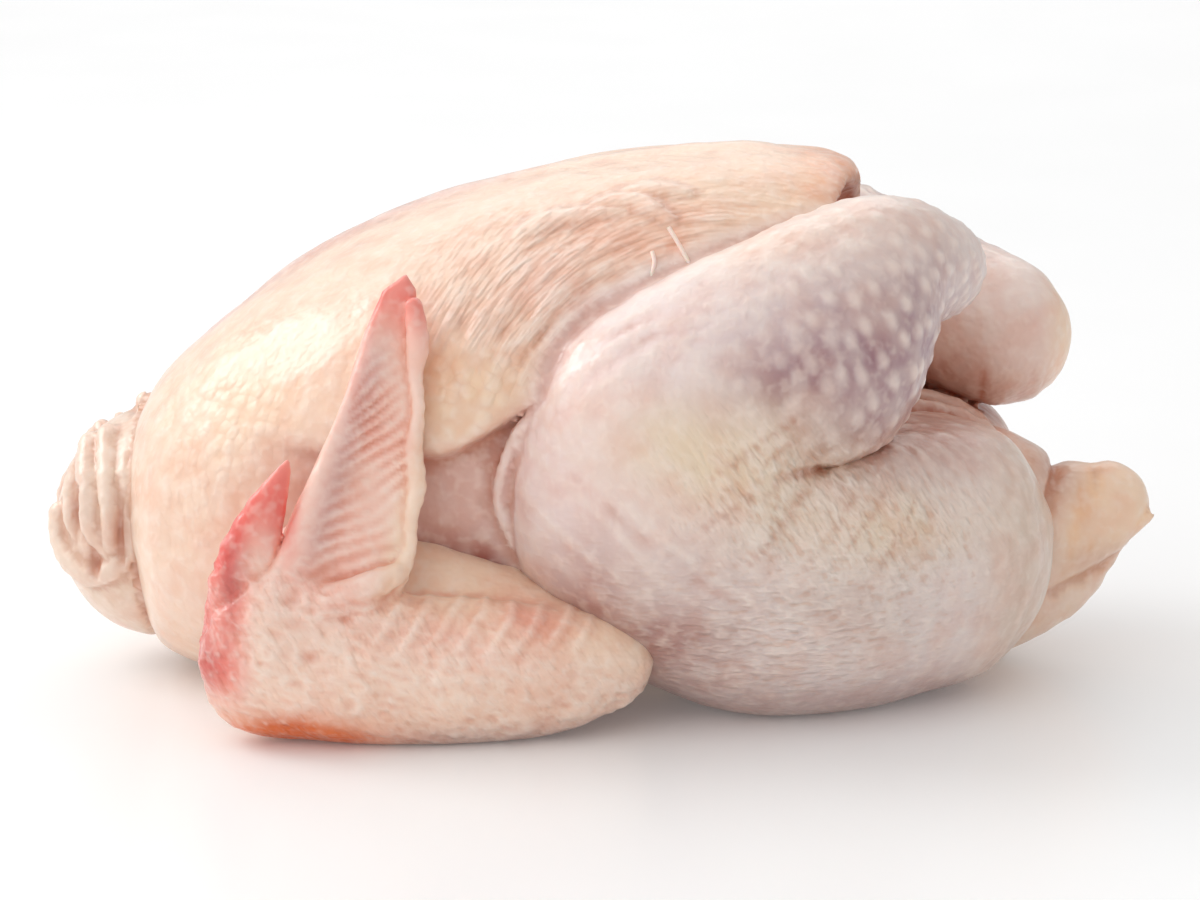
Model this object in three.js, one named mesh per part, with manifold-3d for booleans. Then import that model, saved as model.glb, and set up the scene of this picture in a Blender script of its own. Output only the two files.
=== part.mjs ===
// A whole raw chicken, plucked and drawn, lying on its back with its legs folded and its wings bent.
// Millimetres. +X runs from the neck to the tail, +Y to the bird's left, +Z up from the table.
import * as THREE from "three";
import { mergeVertices } from "three/addons/utils/BufferGeometryUtils.js";
import Module from "manifold-3d";

// Driving dimensions. Every place below is worked out from these.
const BODY_LENGTH = 204; // neck root to the rear tip of the breast
const BODY_HEIGHT = 134; // table to the top of the breast
const BODY_HALF_WIDTH = 75; // at the widest part of the breast
const THIGH_RADIUS = 40;
const CALF_RADIUS = 32;
const FOREARM_RADIUS = 17.5;
const TAIL_RADIUS = 19;
const SETTLE = 1.5; // how far the resting flesh is pressed flat by the table

// How finely each form is divided around.
const FINE = 26;
const MEDIUM = 18;
const COARSE = 12;

const RIGHT = -1; // the bird's right side faces -Y
const LEFT = 1;

const wasm = await Module();
wasm.setup();

// Closed skin over rings of points, each ring drawn together to a point at both ends.
function skinOver(rings, first, last) {
  const around = rings[0].length;
  const position = [first, ...rings.flat(), last].flatMap((v) => [v.x, v.y, v.z]);
  const end = rings.length * around + 1;
  const index = [];
  const at = (ring, k) => 1 + ring * around + (k % around);
  for (let k = 0; k < around; k++) {
    index.push(0, at(0, k + 1), at(0, k));
    index.push(end, at(rings.length - 1, k), at(rings.length - 1, k + 1));
    for (let ring = 0; ring + 1 < rings.length; ring++) {
      index.push(at(ring, k), at(ring, k + 1), at(ring + 1, k));
      index.push(at(ring, k + 1), at(ring + 1, k + 1), at(ring + 1, k));
    }
  }
  const geometry = new THREE.BufferGeometry();
  geometry.setAttribute("position", new THREE.Float32BufferAttribute(position, 3));
  geometry.setIndex(index);
  return geometry;
}

// A limb swept along a smooth spine. Each station is [x, y, z, radius], and both ends are round.
// thin squeezes every section across the direction flat, for a blade such as a wing tip.
function limb(stations, { around = MEDIUM, along = 10, flat = null, thin = 1 } = {}) {
  const smooth = (points) => new THREE.CatmullRomCurve3(points, false, "centripetal");
  const spine = smooth(stations.map(([x, y, z]) => new THREE.Vector3(x, y, z)));
  const radii = smooth(stations.map((station, i) => new THREE.Vector3(i, station[3], 0)));
  const side = (flat ?? new THREE.Vector3(0, 1, 0)).clone().normalize();
  const ring = (centre, axis, radius) => {
    const across = side.clone().addScaledVector(axis, -side.dot(axis)).normalize();
    const wide = new THREE.Vector3().crossVectors(across, axis);
    return Array.from({ length: around }, (_, k) => {
      const angle = (2 * Math.PI * k) / around;
      return centre
        .clone()
        .addScaledVector(wide, radius * Math.cos(angle))
        .addScaledVector(across, radius * thin * Math.sin(angle));
    });
  };
  const rings = [];
  const capRings = Math.max(3, Math.round(around / 5));
  const start = spine.getPoint(0);
  const startAxis = spine.getTangent(0);
  const startRadius = stations[0][3];
  for (let i = 1; i < capRings; i++) {
    const turn = (Math.PI / 2) * (i / capRings);
    const centre = start.clone().addScaledVector(startAxis, -startRadius * Math.cos(turn));
    rings.push(ring(centre, startAxis, startRadius * Math.sin(turn)));
  }
  for (let i = 0; i <= along; i++) {
    const t = i / along;
    rings.push(ring(spine.getPoint(t), spine.getTangent(t), radii.getPoint(t).y));
  }
  const finish = spine.getPoint(1);
  const finishAxis = spine.getTangent(1);
  const finishRadius = stations.at(-1)[3];
  for (let i = capRings - 1; i > 0; i--) {
    const turn = (Math.PI / 2) * (i / capRings);
    const centre = finish.clone().addScaledVector(finishAxis, finishRadius * Math.cos(turn));
    rings.push(ring(centre, finishAxis, finishRadius * Math.sin(turn)));
  }
  const first = start.clone().addScaledVector(startAxis, -startRadius);
  const last = finish.clone().addScaledVector(finishAxis, finishRadius);
  return skinOver(rings, first, last);
}

// Breast, ribs and back. Each station is [x, top, bottom, half width, height where it is widest].
function torsoStations() {
  const [h, w, neck] = [BODY_HEIGHT, BODY_HALF_WIDTH, -127];
  return [
    [neck, 0.39 * h, 0.25 * h, 0.14 * w, 44],
    [neck + 6, 0.49 * h, 0.1 * h, 0.42 * w, 42],
    [neck + 19, 0.59 * h, 0.03 * h, 0.64 * w, 44],
    [neck + 37, 0.715 * h, -SETTLE, 0.8 * w, 51],
    [neck + 62, 0.84 * h, -SETTLE, 0.94 * w, 59],
    [neck + 92, 0.93 * h, -SETTLE, w, 65],
    [neck + 127, 0.985 * h, -SETTLE, w, 69],
    [neck + 157, h, -SETTLE, 0.93 * w, 71],
    [neck + 177, 0.99 * h, 2, 0.82 * w, 75],
    [neck + 189, 0.965 * h, 10, 0.66 * w, 80],
    [neck + 197, 0.875 * h, 38, 0.45 * w, 84],
    [neck + BODY_LENGTH, 0.75 * h, 74, 0.14 * w, 87],
  ];
}

function torso() {
  const stations = torsoStations();
  const column = (k) => {
    const points = stations.map((s) => new THREE.Vector3(s[0], s[k], 0));
    return new THREE.CatmullRomCurve3(points, false, "centripetal");
  };
  const [top, bottom, width, level] = [1, 2, 3, 4].map(column);
  const roundness = 0.93; // under 1 fills the section out a little past an ellipse
  const bulge = (value) => Math.sign(value) * Math.abs(value) ** roundness;
  const along = 22;
  const around = FINE + 4;
  const rings = Array.from({ length: along + 1 }, (_, i) => {
    const t = i / along;
    const { x, y: high } = top.getPoint(t);
    const [low, half, mid] = [bottom, width, level].map((curve) => curve.getPoint(t).y);
    return Array.from({ length: around }, (_, k) => {
      const angle = (2 * Math.PI * k) / around;
      const rise = Math.sin(angle) > 0 ? high - mid : mid - low;
      return new THREE.Vector3(x, half * bulge(Math.cos(angle)), mid + rise * bulge(Math.sin(angle)));
    });
  });
  const end = (station, out) => new THREE.Vector3(station[0] + out, 0, station[4]);
  return skinOver(rings, end(stations[0], -2), end(stations.at(-1), 2));
}

// The loose skin of the neck, gathered in pleats and tucked under.
function neckFlap() {
  const flap = new THREE.SphereGeometry(1, 28, 16);
  const place = flap.attributes.position;
  const size = new THREE.Vector3(29, 38, 32);
  const pleats = 9;
  const pleatDepth = 0.045;
  const v = new THREE.Vector3();
  for (let i = 0; i < place.count; i++) {
    v.fromBufferAttribute(place, i);
    const open = Math.max(0, -v.x) * Math.hypot(v.y, v.z);
    const fold = 1 + pleatDepth * open * Math.cos(pleats * Math.atan2(v.y, v.z));
    v.multiply(size).multiplyScalar(fold);
    place.setXYZ(i, v.x - 112, v.y, v.z + 0.27 * BODY_HEIGHT);
  }
  return flap;
}

// The belly skin, drawn over the back of the bird between its legs.
function belly() {
  const r = 0.95 * THIGH_RADIUS;
  const front = [40, 0, 50, r];
  const middle = [76, 0, 50, 0.92 * r];
  const vent = [98, 0, 44, 0.66 * r];
  return limb([front, middle, vent], { around: MEDIUM, along: 5 });
}

function thigh(side) {
  const r = THIGH_RADIUS;
  const rest = r - SETTLE;
  const hip = [4, side * 58, 54, 0.72 * r];
  const middle = [40, side * 50, rest, r];
  const rump = [78, side * 30, rest - 1, 0.92 * r];
  return limb([hip, middle, rump], { around: FINE, along: 10 });
}

// The right hock is drawn up under the breast, and the left one lies lower and further back.
function drumstick(side) {
  const r = CALF_RADIUS;
  const knee = [14, side * 60, 75, 0.94 * r];
  const calf = [52, side * 57, 89, 0.98 * r];
  const rightHock = [[75, side * 42, 103, 0.69 * r], [86, side * 24, 107, 0.47 * r]];
  const leftHock = [[84, side * 40, 87, 0.74 * r], [103, side * 25, 83, 0.63 * r]];
  return limb([knee, calf, ...(side === RIGHT ? rightHock : leftHock)], { around: FINE, along: 12 });
}

function tail() {
  const r = TAIL_RADIUS;
  const root = [108, 0, 34, r];
  const middle = [120, 0, 38, 0.85 * r];
  const tip = [131, 0, 41, 0.55 * r];
  return limb([root, middle, tip], { around: MEDIUM, along: 5 });
}

// The bent wing, folded like a Z: the upper arm runs back along the flank to the elbow, the forearm
// forward along the table to the wrist, and the hand rises against the breast with the thumb before it.
function wing(side) {
  const r = FOREARM_RADIUS;
  const rest = r - SETTLE;
  const outward = new THREE.Vector3(0.1, side, 0.25);
  const upperArm = [
    [-66, side * 54, 36, 1.1 * r],
    [-30, side * 62, 24, 0.9 * r],
    [0, side * 74, 17, 0.7 * r],
  ];
  const forearm = [
    [-78, side * 81, rest + 3, r],
    [-52, side * 82, rest + 1, 1.06 * r],
    [-22, side * 80, rest, 0.98 * r],
    [0, side * 77, rest, 0.55 * r],
  ];
  const hand = [
    [-72, side * 84, 24, 17],
    [-61, side * 84, 42, 17],
    [-56.5, side * 83, 61, 13.7],
    [-51.5, side * 80, 80, 9.5],
    [-48.5, side * 73, 98, 6],
    [-48, side * 69, 108, 4],
  ];
  const thumb = [
    [-86, side * 83, 26, 9],
    [-83.5, side * 84, 42, 8],
    [-79, side * 83, 55, 5],
    [-75.5, side * 82, 62, 2],
  ];
  return [
    limb(upperArm, { around: MEDIUM, along: 6 }),
    limb(forearm, { around: MEDIUM, along: 12 }),
    limb(hand, { around: MEDIUM, along: 14, flat: outward, thin: 0.36 }),
    limb(thumb, { around: COARSE, along: 7, flat: outward, thin: 0.75 }),
  ];
}

function solidOf(geometry) {
  const bare = geometry.clone();
  bare.deleteAttribute("normal");
  bare.deleteAttribute("uv");
  const merged = mergeVertices(bare, 1e-3);
  return new wasm.Manifold(
    new wasm.Mesh({
      numProp: 3,
      vertProperties: merged.attributes.position.array,
      triVerts: new Uint32Array(merged.index.array),
    }),
  );
}

function geometryOf(solid) {
  const { vertProperties, triVerts } = solid.getMesh();
  const geometry = new THREE.BufferGeometry();
  geometry.setAttribute("position", new THREE.Float32BufferAttribute(vertProperties, 3));
  geometry.setIndex(Array.from(triVerts));
  return geometry;
}

// The flesh settles flat where it rests on the table.
function restOnTable(solid) {
  const reach = 3 * BODY_LENGTH;
  const under = new THREE.BoxGeometry(reach, reach, reach).translate(0, 0, -reach / 2);
  return solid.subtract(solidOf(under));
}

const forms = [torso(), belly(), neckFlap(), tail()];
for (const side of [RIGHT, LEFT]) forms.push(thigh(side), drumstick(side), ...wing(side));
const bird = restOnTable(forms.map(solidOf).reduce((whole, form) => whole.add(form)));

const geometry = geometryOf(bird);
geometry.computeBoundingBox();
const middle = geometry.boundingBox.getCenter(new THREE.Vector3());
geometry.translate(-middle.x, -middle.y, 0);
geometry.computeVertexNormals();

const skin = new THREE.MeshStandardMaterial({ color: 0xf0d0bf, roughness: 0.45, metalness: 0 });
const chicken = new THREE.Mesh(geometry, skin);
chicken.name = "chicken";

const part = new THREE.Group();
part.add(chicken);
export default part;
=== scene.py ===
"""A whole raw chicken, plucked and drawn, lying on its back on a plain pale table."""

import math

import bpy
import numpy as np
from bpy.props import FloatProperty, FloatVectorProperty, PointerProperty
from bpy.types import Operator, Panel, PropertyGroup
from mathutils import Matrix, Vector


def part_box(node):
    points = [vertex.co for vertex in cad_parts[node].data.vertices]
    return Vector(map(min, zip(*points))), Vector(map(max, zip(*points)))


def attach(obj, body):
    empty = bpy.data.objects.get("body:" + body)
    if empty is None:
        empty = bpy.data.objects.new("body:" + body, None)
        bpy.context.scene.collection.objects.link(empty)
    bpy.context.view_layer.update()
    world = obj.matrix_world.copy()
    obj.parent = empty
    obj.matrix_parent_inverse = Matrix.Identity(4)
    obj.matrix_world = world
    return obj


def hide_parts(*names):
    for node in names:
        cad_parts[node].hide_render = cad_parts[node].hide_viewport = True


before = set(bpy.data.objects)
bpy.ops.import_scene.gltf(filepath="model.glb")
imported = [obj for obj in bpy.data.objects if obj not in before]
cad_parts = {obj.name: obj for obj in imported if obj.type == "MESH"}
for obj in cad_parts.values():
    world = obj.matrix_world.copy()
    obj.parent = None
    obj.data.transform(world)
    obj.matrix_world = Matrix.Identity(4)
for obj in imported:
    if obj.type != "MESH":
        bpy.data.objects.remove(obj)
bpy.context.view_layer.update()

bl_info = {
    "name": "Raw chicken",
    "version": (1, 0, 0),
    "blender": (4, 5, 0),
    "location": "3D View > Sidebar > Chicken",
    "description": "Makes a whole raw chicken with folded legs, bent wings and moist skin",
    "category": "Object",
}

NODE = "chicken"
BODY = "root"
LOW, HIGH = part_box(NODE)

# The form is drawn in millimetres on a bird of this length, and fitted to the frame's own length.
DRAWN_LENGTH = 282.4
MM = (HIGH.x - LOW.x) / DRAWN_LENGTH
RIGHT, LEFT = -1, 1


# ---------------------------------------------------------------------------------------------
# Shape: solids given as signed distances, in millimetres, for arrays of points
# ---------------------------------------------------------------------------------------------
def ramp(value, start, end):
    """0 before start, 1 after end, with a smooth rise between. end may be below start."""
    t = np.clip((value - start) / (end - start), 0.0, 1.0)
    return t * t * (3.0 - 2.0 * t)


def bell(value, centre, width):
    """1 at centre, fading to 0 well past width on either side."""
    return np.exp(-(((value - centre) / width) ** 2))


def join(a, b, reach):
    """Both solids, with the valley between them filled over this reach."""
    h = np.maximum(reach - np.abs(a - b), 0.0) / reach
    return np.minimum(a, b) - h * h * h * reach / 6.0


def trim(a, b, reach):
    """What both solids share, with the edge rounded over this reach."""
    return -join(-a, -b, reach)


def press(a, b, reach, depth, width):
    """Two folds of skin pressed together, with the line between them drawn in."""
    return join(a, b, reach) + depth * bell(a - b, 0, width)


def smooth_rows(rows, count):
    """A smooth curve through rows of numbers, as that many rows."""
    rows = np.array(rows, float)
    padded = np.vstack([2 * rows[0] - rows[1], rows, 2 * rows[-1] - rows[-2]])
    at = np.linspace(0, len(rows) - 1, count)
    i = np.minimum(at.astype(int), len(rows) - 2)
    t = (at - i)[:, None]
    a, b, c, d = (padded[i + k] for k in range(4))
    return b + 0.5 * t * (c - a + t * (2 * a - 5 * b + 4 * c - d + t * (3 * (b - c) + d - a)))


def on_side(side, stations):
    """Stations drawn on the left, moved to this side."""
    return [[x, side * y, z, radius] for x, y, z, radius in stations]


def limb(p, stations, steps=16, flat=None, thin=1.0):
    """A limb along a smooth spine of [x, y, z, radius]. It is squeezed across the flat direction."""
    nodes = smooth_rows(stations, steps).astype(np.float32)
    spine, radii = nodes[:, :3], nodes[:, 3]
    if flat is not None:
        flat = np.array(flat, np.float32) / np.linalg.norm(flat)
        stretch = np.float32(1.0 / thin - 1.0)
        p = p + stretch * (p @ flat)[:, None] * flat
        spine = spine + stretch * (spine @ flat)[:, None] * flat
    best = None
    for a, b, ra, rb in zip(spine[:-1], spine[1:], radii[:-1], radii[1:]):
        ab = b - a
        t = np.clip(((p - a) @ ab) / max(float(ab @ ab), 1e-6), 0.0, 1.0)
        away = p - a - t[:, None] * ab
        d = np.sqrt(np.einsum("ij,ij->i", away, away)) - (ra + (rb - ra) * t)
        best = d if best is None else join(best, d, 1.2)
    return best


def ball(p, centre, radii):
    """An ellipsoid, as a close estimate of the distance."""
    q = (p - np.array(centre, np.float32)) / np.array(radii, np.float32)
    k = np.sqrt(np.einsum("ij,ij->i", q, q))
    return (k - 1.0) * float(min(radii)) * 0.6 + (k - 1.0) * float(np.mean(radii)) * 0.4


def blob(p, centre, radii):
    """1 at the centre of an ellipsoid, fading to 0 well outside it."""
    q = (p - np.array(centre, np.float32)) / np.array(radii, np.float32)
    return np.exp(-np.einsum("ij,ij->i", q, q))


def outline_distance(u, v, points):
    """Signed distance to a closed outline, negative inside."""
    best = np.full(u.shape, 1e9, np.float32)
    inside = np.zeros(u.shape, bool)
    for (au, av), (bu, bv) in zip(points, points[1:] + points[:1]):
        eu, ev = bu - au, bv - av
        t = np.clip(((u - au) * eu + (v - av) * ev) / (eu * eu + ev * ev), 0.0, 1.0)
        best = np.minimum(best, (u - au - t * eu) ** 2 + (v - av - t * ev) ** 2)
        crosses = ((av <= v) != (bv <= v)) & (u < eu * (v - av) / (ev if ev else 1e-9) + au)
        inside ^= crosses
    return np.where(inside, -1.0, 1.0) * np.sqrt(best)


class Roughness:
    """A smooth random field between -1 and 1, the same on every run."""

    SIZE = 32

    def __init__(self, seed):
        random = np.random.RandomState(seed)
        self.values = random.uniform(-1, 1, (self.SIZE,) * 3).astype(np.float32)

    def __call__(self, p, grain):
        q = p / np.array(grain, np.float32)
        cell = np.floor(q).astype(int)
        f = q - cell
        f = f * f * (3.0 - 2.0 * f)
        total = 0.0
        for corner in range(8):
            step = np.array([corner & 1, corner >> 1 & 1, corner >> 2 & 1])
            i, j, k = ((cell + step) % self.SIZE).T
            weight = np.prod(np.where(step, f, 1.0 - f), axis=1)
            total = total + weight * self.values[i, j, k]
        return total


# ---------------------------------------------------------------------------------------------
# The body, legs and tail
# ---------------------------------------------------------------------------------------------
SETTLE = 1.5  # how far the resting flesh is pressed flat by the table

# Breast, ribs and back: x, top, bottom, half width, height where it is widest.
TORSO = [
    [-119, 55, 30, 12, 42],
    [-118, 62, 21, 26, 42],
    [-115, 70, 12, 36, 42],
    [-108, 78.5, 4, 46, 44],
    [-90, 94, -SETTLE, 60, 51],
    [-65, 109.5, -SETTLE, 70, 59],
    [-35, 122, -SETTLE, 75, 65],
    [0, 129.6, -SETTLE, 75, 69],
    [30, 132.3, -SETTLE, 70, 71],
    [50, 131.5, 2, 60, 75],
    [60, 129.8, 10, 48, 80],
    [65, 125, 38, 33, 84],
    [68, 106, 74, 12, 87],
]
KNEE = [14, 60, 75, 30]
CALF = [48, 57, 92.5, 27.3]
CALF_BELLY = [[28, 60, 77, 24], [50, 59, 85, 23.5], [55, 54, 92, 21]]
RIGHT_HOCK = [[67, 46, 107, 18.6], [82, 30, 106, 13.4]]
LEFT_HOCK = [[80, 40, 86, 24], [102.5, 25, 81.5, 20.5]]
THIGH = [[4, 56, 52, 28], [40, 50, 38.5, 40], [77, 30, 36.5, 36]]
THIGH_TOP = 68.0  # height at which the thigh is cut off by the fold behind the drumstick
LEG_FRONT = [
    [-14, 72, 79, 0.8],
    [-19.5, 71, 72, 1.6],
    [-23.5, 70, 62, 1.8],
    [-24, 68, 53, 1.8],
    [-21, 66, 44, 0.9],
]
HOOD = (69.5, -16.0, 110.5)  # middle of the hollow under the rear end of the breast
HOOD_RADII = (17.5, 31.0, 17.0)
NECK_MIDDLE = (-111.5, 0.0, 37.0)
NECK_RADII = (27.6, 32.5, 29.5)

# Ridges of the gathered neck skin on each side, and the pinched places between them, as x and height.
NECK_RIDGES = [
    [[-130.5, 55], [-133.6, 48], [-133.4, 41], [-132.5, 36.5]],
    [[-129, 57.5], [-128, 49], [-127.2, 41], [-125, 34.5]],
    [[-124.5, 60.5], [-122.5, 50], [-121.6, 41], [-123, 34]],
    [[-116.5, 66], [-118.5, 55], [-117.3, 45]],
    [[-137, 40], [-136, 33], [-131.5, 28], [-126, 27]],
    [[-129, 26], [-122, 29.5], [-117.5, 33]],
]
NECK_PINCHES = [(-131.4, 45, 5.0), (-119.6, 39, 7.5), (-127.0, 30.5, 3.5)]
rough_body = Roughness(11)
rough_fold = Roughness(23)


def breast_edge(x):
    """Height of the breast muscle's lower edge, where it laps over the flank."""
    return 69.0 + 13.0 * ramp(x, -40, -12) + 6.0 * ramp(x, -60, -100)


def only_where(where, p, d, change):
    """d, with change(p, d) worked out only for the points in where."""
    d = d.copy()
    d[where] = change(p[where], d[where])
    return d


def torso(p):
    """Breast, ribs and back, with the flank drawn in and the keel of the breastbone raised."""
    x, y, z = p.T
    sections = smooth_rows(TORSO, 160)
    top, bottom, half, mid = (np.interp(x, sections[:, 0], sections[:, k]) for k in (1, 2, 3, 4))
    rise = np.where(z > mid, top - mid, mid - bottom)
    out, up = np.abs(y) / half, np.abs(z - mid) / rise
    fullness = np.where(z > mid, 2.15, 2.4)
    k = (out**fullness + up**fullness) ** (1.0 / fullness)
    across = np.hypot(y, z - mid)
    d = across * (1.0 - 1.0 / np.maximum(k, 1e-3))
    past = np.maximum(sections[0, 0] - x, x - sections[-1, 0])
    d = np.where(past > 0, np.hypot(np.maximum(d, 0.0), past), d)
    side = ramp(np.abs(y), 30, 50)
    flank = ramp(z, breast_edge(x), breast_edge(x) - 5.0) * ramp(z, 12, 30) * side
    flank = flank * ramp(x, -84, -52) * ramp(x, 40, 10)
    keel = bell(y, 0, 5) * ramp(z, 85, 105) * ramp(x, -120, -95) * ramp(x, 60, 35)
    return d + (4.5 + 3.0 * ramp(x, -60, -40)) * flank - 1.3 * keel


def on_neck(x, z):
    """How far from the middle the plain neck skin lies at x and z."""
    left = 1.0 - ((x - NECK_MIDDLE[0]) / NECK_RADII[0]) ** 2 - ((z - NECK_MIDDLE[2]) / NECK_RADII[2]) ** 2
    return NECK_RADII[1] * math.sqrt(max(left, 0.02))


def with_neck(q, d):
    """Adds a gathered pouch of neck skin: ridges that run down into pinched places."""
    folded = ball(q, NECK_MIDDLE, NECK_RADII)
    for side in (RIGHT, LEFT):
        for number, ridge in enumerate(NECK_RIDGES):
            thick = 2.9 + 0.9 * math.sin(2.0 * number + side)
            stations = [[x, side * (on_neck(x, z) - 1.3), z, thick] for x, z in ridge]
            stations[-1][3] = 0.7 * thick
            folded = press(folded, limb(q, stations, 8), 4.2, 0.6, 1.3)
    middle = [[-125, 0, 59, 3], [-132, 0, 51, 3.2], [-136.4, 1, 44, 3], [-137.5, 0, 36, 2.2]]
    folded = press(folded, limb(q, middle, 8), 4.2, 0.6, 1.3)
    for side in (RIGHT, LEFT):
        for x, z, tall in NECK_PINCHES:
            folded = trim(folded, -ball(q, (x, side * (on_neck(x, z) + 1.2), z), (1.3, 3.0, tall)), 3.0)
    return press(d, folded, 2.5, 1.6, 1.8)


def with_tail(q, d):
    """Adds the tail, the skin under it and the spread folds between the thighs."""
    tail = limb(q, [[104, 0, 30, 20], [118, 0, 35, 16.5], [130, 0, 39.5, 12]], 8, flat=(0, 0, 1), thin=0.92)
    under = limb(q, [[92, 0, 16, 18], [112, 0, 21, 13], [132, 0, 33, 6]], 8)
    d = join(d, under, 12.0)
    d = press(d, tail, 3.0, 1.4, 2.0)
    nib = limb(q, [[134, -5, 35.5, 3.0], [138.5, -6, 37, 2.0], [141.5, -6, 38.5, 1.0]], 6)
    d = join(d, nib, 2.0)
    for out, drop in ((-13, 0.0), (-3, 1.5), (9, 0.5)):
        top, middle = [66, 1.3 * out, 66, 3.5], [80, out, 66.5 - drop, 3.2]
        spread = [top, middle, [95, 0.7 * out, 62 - drop, 3], [104, 0.5 * out, 53, 2.5]]
        d = press(d, limb(q, spread, 8), 2.5, 0.8, 1.4)
    return d


def drumstick(p, side):
    """Calf from the knee to the hock, with its belly underneath."""
    stations = [KNEE, CALF, *(RIGHT_HOCK if side == RIGHT else LEFT_HOCK)]
    upper = limb(p, on_side(side, stations), 24)
    lower = limb(p, on_side(side, CALF_BELLY), 8)
    return join(upper, lower, 14.0)


def leg(p, side):
    """Drumstick folded back against the thigh: one skin at the knee, and a deep fold behind it."""
    x, z = p[:, 0], p[:, 2]
    upper = drumstick(p, side)
    lower = limb(p, on_side(side, THIGH), 22)
    fold = ramp(x, 36, 54)
    lower = trim(lower, z - THIGH_TOP - 30.0 * (1.0 - fold), 10.0)
    return press(upper, lower, 30.0 - 27.0 * fold, 2.2 * fold, 2.4)


def body_form(p):
    """Everything but the wings, as one skin."""
    x, z = p[:, 0], p[:, 2]
    warp = rough_body(p, 26.0)[:, None] * np.float32([0.5, 1.0, 0.6])
    q = (p + warp).astype(np.float32)
    d = torso(q)
    belly = limb(q, [[40, 0, 50, 37], [72, 0, 41, 27], [97, 0, 39, 22]], 6)
    d = join(d, belly, 14.0)
    d = trim(d, -ball(q, HOOD, HOOD_RADII), 2.0)
    d = only_where(x < -96, q, d, with_neck)
    for side in (RIGHT, LEFT):
        near_body = 5.0 + 16.0 * ramp(z, 40, 20)
        one_leg = leg(q, side)
        drawn_in = 0.9 * bell(d - one_leg, 0, 2.4) * ramp(z, 30, 45)
        d = join(d, one_leg, near_body) + drawn_in
        rim = limb(q, on_side(side, LEG_FRONT), 14)
        d = join(d, rim, 2.0)
    d = only_where(x > 58, q, d, with_tail)
    return trim(d, -z, 3.5)


# ---------------------------------------------------------------------------------------------
# The wings. Both are drawn as the right one, in the same places with y outwards positive.
# ---------------------------------------------------------------------------------------------
FOREARM = [
    [-77, 81, 19, 17.5],
    [-52, 82, 17, 18],
    [-22, 80, 16, 16.5],
    [-4, 78, 16.5, 12],
    [6, 76, 18, 5],
]
UPPER_ARM = [[-66, 54, 36, 19], [-30, 62, 24, 15.5], [0, 73, 17, 12]]
THUMB = [
    [-85, 82, 26, 10],
    [-83.5, 84, 40, 8.6],
    [-79.5, 84, 54, 5.4],
    [-76, 83, 62, 2.6],
    [-73.8, 82, 67, 0.9],
]
HAND_BASE = np.array([-71.0, 86.0, 22.0])
HAND_TIP = np.array([-46.0, 68.0, 112.0])
HAND_OUT = np.array([0.1, 1.0, 0.25])


def hand_frame():
    """The hand's own directions: along it, across it to its trailing edge, and out from the bird."""
    along = HAND_TIP - HAND_BASE
    along = along / np.linalg.norm(along)
    out = HAND_OUT - (HAND_OUT @ along) * along
    out = out / np.linalg.norm(out)
    back = np.cross(along, out)
    return along, back if back[0] > 0 else -back, out


ALONG, BACK, OUT = hand_frame()

# The hand's outline, as [along, backwards] from its base: up the leading edge, down the trailing one.
HAND_OUTLINE = [
    [-4, -16], [12, -13], [28, -11], [45, -8], [62, -6], [78, -5], [88, -3.6], [93, 0.4],
    [90, 3.6], [80, 7.2], [64, 11.5], [50, 15.5], [38, 18.5], [30, 20.5],
    [27, 18.8], [24, 20.6], [20, 18.6], [15, 18.2], [10, 13.5], [6, 6], [-2, 0],
]

# The rolled rim of skin along the hand's trailing edge, as [along, backwards].
HAND_RIM = [
    [86, 4.2], [78, 7.4], [71, 8.6], [63, 11.6], [54, 12.9], [46, 15.8], [38, 16.6], [31, 18.4], [25, 17.6],
]


def in_hand(p):
    """How far each point lies along the hand, backwards across it, and out of it."""
    q = p - HAND_BASE.astype(np.float32)
    return q @ ALONG.astype(np.float32), q @ BACK.astype(np.float32), q @ OUT.astype(np.float32)


def hand(p):
    """A thin bowed blade of skin, thicker along the bones at its leading edge."""
    u, v, w = in_hand(p)
    edge = outline_distance(u, v, HAND_OUTLINE)
    bow = -0.0012 * (u - 40.0) ** 2 + 1.2
    lead = np.interp(u, [0, 30, 60, 93], [-9, -7, -4.5, 0])
    thick = 2.0 + 3.6 * bell(v, lead, 7.0) * ramp(u, 100, 50) + 2.5 * ramp(u, 20, 0)
    blade = trim(np.abs(w - bow) - thick, edge, 3.0)
    rim = []
    for number, (a, b) in enumerate(HAND_RIM):
        spot = HAND_BASE + a * ALONG + b * BACK + (2.2 + 0.5 * math.sin(2.4 * number)) * OUT
        rim.append([*spot, 2.1 + 0.5 * math.sin(1.7 * number)])
    return press(blade, limb(p, rim, 20), 1.8, 0.45, 0.9)


def thumb(p):
    """The pointed thumb that stands up from the wrist."""
    return limb(p, THUMB, 10, flat=HAND_OUT, thin=0.7)


def wing_form(p):
    """Upper arm, forearm, wrist, hand and thumb, as one skin."""
    warp = rough_fold(p, 11.0)[:, None] * np.float32([0.5, 0.7, 0.6])
    q = (p + warp).astype(np.float32)
    forearm = limb(q, FOREARM, 20, flat=(0, 1, 0), thin=0.86)
    d = join(forearm, limb(q, UPPER_ARM, 8), 5.0)
    wrist = ball(q, (-79, 82, 27), (14.5, 12.5, 19))
    d = join(d, wrist, 10.0)
    web = limb(q, [[-49, 86, 41, 2.6], [-58, 88, 37, 3.6], [-68, 89, 34, 4.2]], 8)
    blade = join(hand(q), web, 4.0)
    d = join(d, blade, 5.0)
    d = press(d, thumb(q), 2.2, 0.9, 1.3)
    return trim(d, -p[:, 2], 2.0)


# ---------------------------------------------------------------------------------------------
# Skin over a form
# ---------------------------------------------------------------------------------------------
BLOCK = 4  # cells along each side of the blocks in which the surface is looked for
WIDE_FOLDS, FINE_FOLDS = 14, 3  # rounds of smoothing that bring out folds, and wrinkles


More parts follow.
